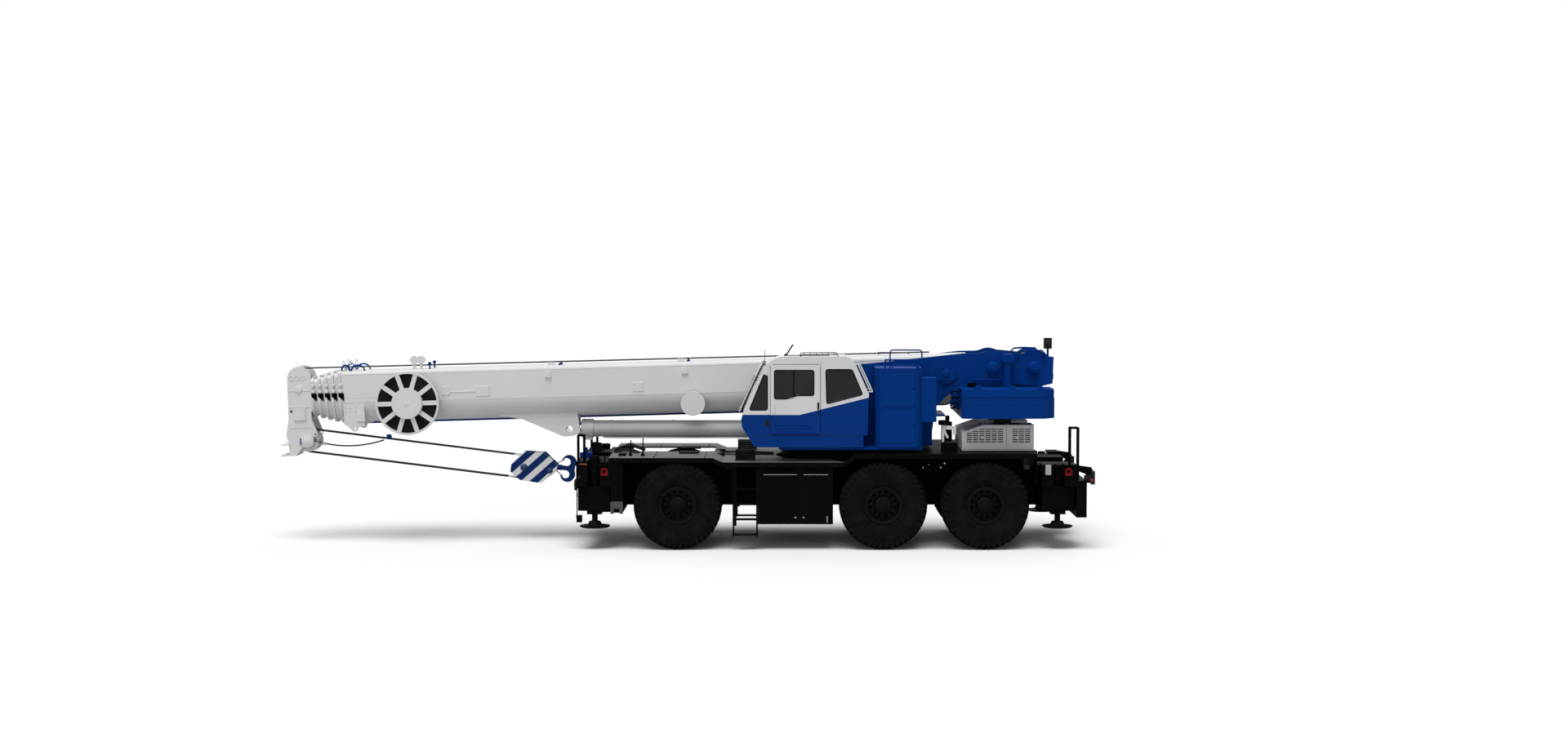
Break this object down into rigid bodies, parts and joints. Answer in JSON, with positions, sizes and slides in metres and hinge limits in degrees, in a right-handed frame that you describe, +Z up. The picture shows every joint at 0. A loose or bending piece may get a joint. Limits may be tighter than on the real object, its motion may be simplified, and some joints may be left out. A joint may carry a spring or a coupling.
{
  "type": "rough terrain crane",
  "caption": "Three-axle rough terrain crane with a slewing upper part, cab, five-section telescopic boom, hook block, winches, folding jib and four outriggers.",
  "frame": {"origin": "middle of the bottom face of the box around the whole machine, on the ground under it", "axes": "+X runs from the boom's tip to the rear of the carrier, along the longest extent; +Y to the machine's right, seen from its cab facing the boom's tip; +Z up"},
  "size_m": [16.3072, 3.3, 4.14],
  "materials": {
    "boom_white": "gloss",
    "upper_blue": "gloss",
    "carrier_black": "satin",
    "deck_grey": "matte, anti-slip",
    "lug_red": "gloss",
    "hood_grey": "gloss",
    "engine_metal": "matte",
    "lamp_housing": "matte",
    "bare_steel": "satin",
    "tyre_rubber": "matte",
    "cab_glass": "clear, tinted",
    "interior_plastic": "matte",
    "cylinder_grey": "gloss",
    "hook_paint": "gloss"
  },
  "bodies": {
    "carrier": {"chassis_frame": "carrier_black", "outrigger_boxes": "carrier_black", "tie_down_lugs": "lug_red", "deck_and_fenders": "deck_grey", "side_cabinets": "carrier_black", "steps_and_rails": "carrier_black", "engine_hood": "hood_grey", "engine": "engine_metal", "intake_and_exhaust": "carrier_black", "lamps": "lamp_housing", "slew_ring": "bare_steel", "axle_housings": "carrier_black"},
    "beam_fl": {"outrigger_beam_fl": "carrier_black"},
    "jack_fl": {"outrigger_jack_fl": "bare_steel"},
    "beam_fr": {"outrigger_beam_fr": "carrier_black"},
    "jack_fr": {"outrigger_jack_fr": "bare_steel"},
    "beam_rl": {"outrigger_beam_rl": "carrier_black"},
    "jack_rl": {"outrigger_jack_rl": "bare_steel"},
    "beam_rr": {"outrigger_beam_rr": "carrier_black"},
    "jack_rr": {"outrigger_jack_rr": "bare_steel"},
    "steer_1l": {"knuckle_1l": "carrier_black"},
    "wheel_1l": {"rim_1l": "carrier_black", "tyre_1l": "tyre_rubber"},
    "steer_1r": {"knuckle_1r": "carrier_black"},
    "wheel_1r": {"rim_1r": "carrier_black", "tyre_1r": "tyre_rubber"},
    "steer_2l": {"knuckle_2l": "carrier_black"},
    "wheel_2l": {"rim_2l": "carrier_black", "tyre_2l": "tyre_rubber"},
    "steer_2r": {"knuckle_2r": "carrier_black"},
    "wheel_2r": {"rim_2r": "carrier_black", "tyre_2r": "tyre_rubber"},
    "steer_3l": {"knuckle_3l": "carrier_black"},
    "wheel_3l": {"rim_3l": "carrier_black", "tyre_3l": "tyre_rubber"},
    "steer_3r": {"knuckle_3r": "carrier_black"},
    "wheel_3r": {"rim_3r": "carrier_black", "tyre_3r": "tyre_rubber"},
    "upper": {"turntable_frame": "upper_blue", "cab_shell": "boom_white", "cab_glass": "cab_glass", "cab_interior": "interior_plastic", "equipment_cabinets": "upper_blue", "counterweight": "upper_blue"},
    "door": {"cab_door": "boom_white"},
    "drum_front": {"winch_drum_front": "upper_blue"},
    "drum_rear": {"winch_drum_rear": "upper_blue"},
    "boom": {"boom_base": "boom_white", "folding_jib": "upper_blue"},
    "section_2": {"boom_section_2": "boom_white"},
    "section_3": {"boom_section_3": "boom_white"},
    "section_4": {"boom_section_4": "boom_white"},
    "section_5": {"boom_section_5": "boom_white", "hook_block": "hook_paint"},
    "reel": {"cable_reel": "boom_white"},
    "lift_barrel": {"lift_cylinder_barrel": "cylinder_grey"},
    "lift_rod": {"lift_cylinder_rod": "bare_steel"}
  },
  "joints": [
    {"name": "slew", "type": "hinge", "parent": "carrier", "child": "upper", "pos_m": [2.87658, 0, 1.9], "axis": [0, 0, 1], "continuous": true},
    {"name": "boom_luff", "type": "hinge", "parent": "upper", "child": "boom", "pos_m": [5.29958, 0, 3.434], "axis": [0, 1, 0], "range_deg": [0, 81.5]},
    {"name": "lift_barrel_turn", "type": "hinge", "parent": "upper", "child": "lift_barrel", "pos_m": [3.87658, 0, 2.274], "axis": [0, 1, 0], "range_deg": [0, 85.32]},
    {"name": "lift_rod_slide", "type": "slide", "parent": "lift_barrel", "child": "lift_rod", "axis": [-1, 0, 0.0002], "range_m": [0, 2.052]},
    {"name": "telescope_2", "type": "slide", "parent": "boom", "child": "section_2", "axis": [-0.9996, 0, -0.0279], "range_m": [0, 11.6]},
    {"name": "telescope_3", "type": "slide", "parent": "section_2", "child": "section_3", "axis": [-0.9996, 0, -0.0279], "range_m": [0, 11.6]},
    {"name": "telescope_4", "type": "slide", "parent": "section_3", "child": "section_4", "axis": [-0.9996, 0, -0.0279], "range_m": [0, 11.6]},
    {"name": "telescope_5", "type": "slide", "parent": "section_4", "child": "section_5", "axis": [-0.9996, 0, -0.0279], "range_m": [0, 11.6]},
    {"name": "reel_spin", "type": "hinge", "parent": "boom", "child": "reel", "pos_m": [-5.50891, -0.6, 2.83498], "axis": [0, 1, 0], "continuous": true},
    {"name": "winch_front_spin", "type": "hinge", "parent": "upper", "child": "drum_front", "pos_m": [6.23258, 0, 3.55], "axis": [0, 1, 0], "continuous": true},
    {"name": "winch_rear_spin", "type": "hinge", "parent": "upper", "child": "drum_rear", "pos_m": [7.05458, 0, 3.55], "axis": [0, 1, 0], "continuous": true},
    {"name": "cab_door_slide", "type": "slide", "parent": "upper", "child": "door", "axis": [1, 0, 0], "range_m": [0, 0.6]},
    {"name": "beam_fl_slide", "type": "slide", "parent": "carrier", "child": "beam_fl", "axis": [0, -1, 0], "range_m": [0, 1.95]},
    {"name": "jack_fl_slide", "type": "slide", "parent": "beam_fl", "child": "jack_fl", "axis": [0, 0, -1], "range_m": [0, 0.62]},
    {"name": "beam_fr_slide", "type": "slide", "parent": "carrier", "child": "beam_fr", "axis": [0, 1, 0], "range_m": [0, 1.95]},
    {"name": "jack_fr_slide", "type": "slide", "parent": "beam_fr", "child": "jack_fr", "axis": [0, 0, -1], "range_m": [0, 0.62]},
    {"name": "beam_rl_slide", "type": "slide", "parent": "carrier", "child": "beam_rl", "axis": [0, -1, 0], "range_m": [0, 1.95]},
    {"name": "jack_rl_slide", "type": "slide", "parent": "beam_rl", "child": "jack_rl", "axis": [0, 0, -1], "range_m": [0, 0.62]},
    {"name": "beam_rr_slide", "type": "slide", "parent": "carrier", "child": "beam_rr", "axis": [0, 1, 0], "range_m": [0, 1.95]},
    {"name": "jack_rr_slide", "type": "slide", "parent": "beam_rr", "child": "jack_rr", "axis": [0, 0, -1], "range_m": [0, 0.62]},
    {"name": "steer_1l", "type": "hinge", "parent": "carrier", "child": "steer_1l", "pos_m": [-0.06342, -1.06, 0.875], "axis": [0, 0, 1], "range_deg": [-26, 26]},
    {"name": "steer_1r", "type": "hinge", "parent": "carrier", "child": "steer_1r", "pos_m": [-0.06342, 1.06, 0.875], "axis": [0, 0, 1], "range_deg": [-26.1, 26.1]},
    {"name": "steer_2l", "type": "hinge", "parent": "carrier", "child": "steer_2l", "pos_m": [3.99658, -1.06, 0.875], "axis": [0, 0, 1], "range_deg": [-13.1, 13.1]},
    {"name": "steer_2r", "type": "hinge", "parent": "carrier", "child": "steer_2r", "pos_m": [3.99658, 1.06, 0.875], "axis": [0, 0, 1], "range_deg": [-13.1, 13.1]},
    {"name": "steer_3l", "type": "hinge", "parent": "carrier", "child": "steer_3l", "pos_m": [6.00658, -1.06, 0.875], "axis": [0, 0, 1], "range_deg": [-24, 24]},
    {"name": "steer_3r", "type": "hinge", "parent": "carrier", "child": "steer_3r", "pos_m": [6.00658, 1.06, 0.875], "axis": [0, 0, 1], "range_deg": [-24.1, 24.1]},
    {"name": "wheel_1l_spin", "type": "hinge", "parent": "steer_1l", "child": "wheel_1l", "pos_m": [-0.06342, -1.31, 0.875], "axis": [0, 1, 0], "continuous": true},
    {"name": "wheel_1r_spin", "type": "hinge", "parent": "steer_1r", "child": "wheel_1r", "pos_m": [-0.06342, 1.31, 0.875], "axis": [0, 1, 0], "continuous": true},
    {"name": "wheel_2l_spin", "type": "hinge", "parent": "steer_2l", "child": "wheel_2l", "pos_m": [3.99658, -1.31, 0.875], "axis": [0, 1, 0], "continuous": true},
    {"name": "wheel_2r_spin", "type": "hinge", "parent": "steer_2r", "child": "wheel_2r", "pos_m": [3.99658, 1.31, 0.875], "axis": [0, 1, 0], "continuous": true},
    {"name": "wheel_3l_spin", "type": "hinge", "parent": "steer_3l", "child": "wheel_3l", "pos_m": [6.00658, -1.31, 0.875], "axis": [0, 1, 0], "continuous": true},
    {"name": "wheel_3r_spin", "type": "hinge", "parent": "steer_3r", "child": "wheel_3r", "pos_m": [6.00658, 1.31, 0.875], "axis": [0, 1, 0], "continuous": true}
  ],
  "couplings": [
    {"joint": "lift_barrel_turn", "follows": "boom_luff", "ratio": 1.0444},
    {"joint": "lift_rod_slide", "follows": "boom_luff", "m_per_rad": 1.441},
    {"joint": "telescope_4", "follows": "telescope_3", "ratio": 1},
    {"joint": "telescope_5", "follows": "telescope_3", "ratio": 1},
    {"joint": "steer_1r", "follows": "steer_1l", "ratio": 1},
    {"joint": "steer_3r", "follows": "steer_3l", "ratio": 1},
    {"joint": "steer_2l", "follows": "steer_3l", "ratio": 0.54167},
    {"joint": "steer_2r", "follows": "steer_3l", "ratio": 0.54167}
  ]
}
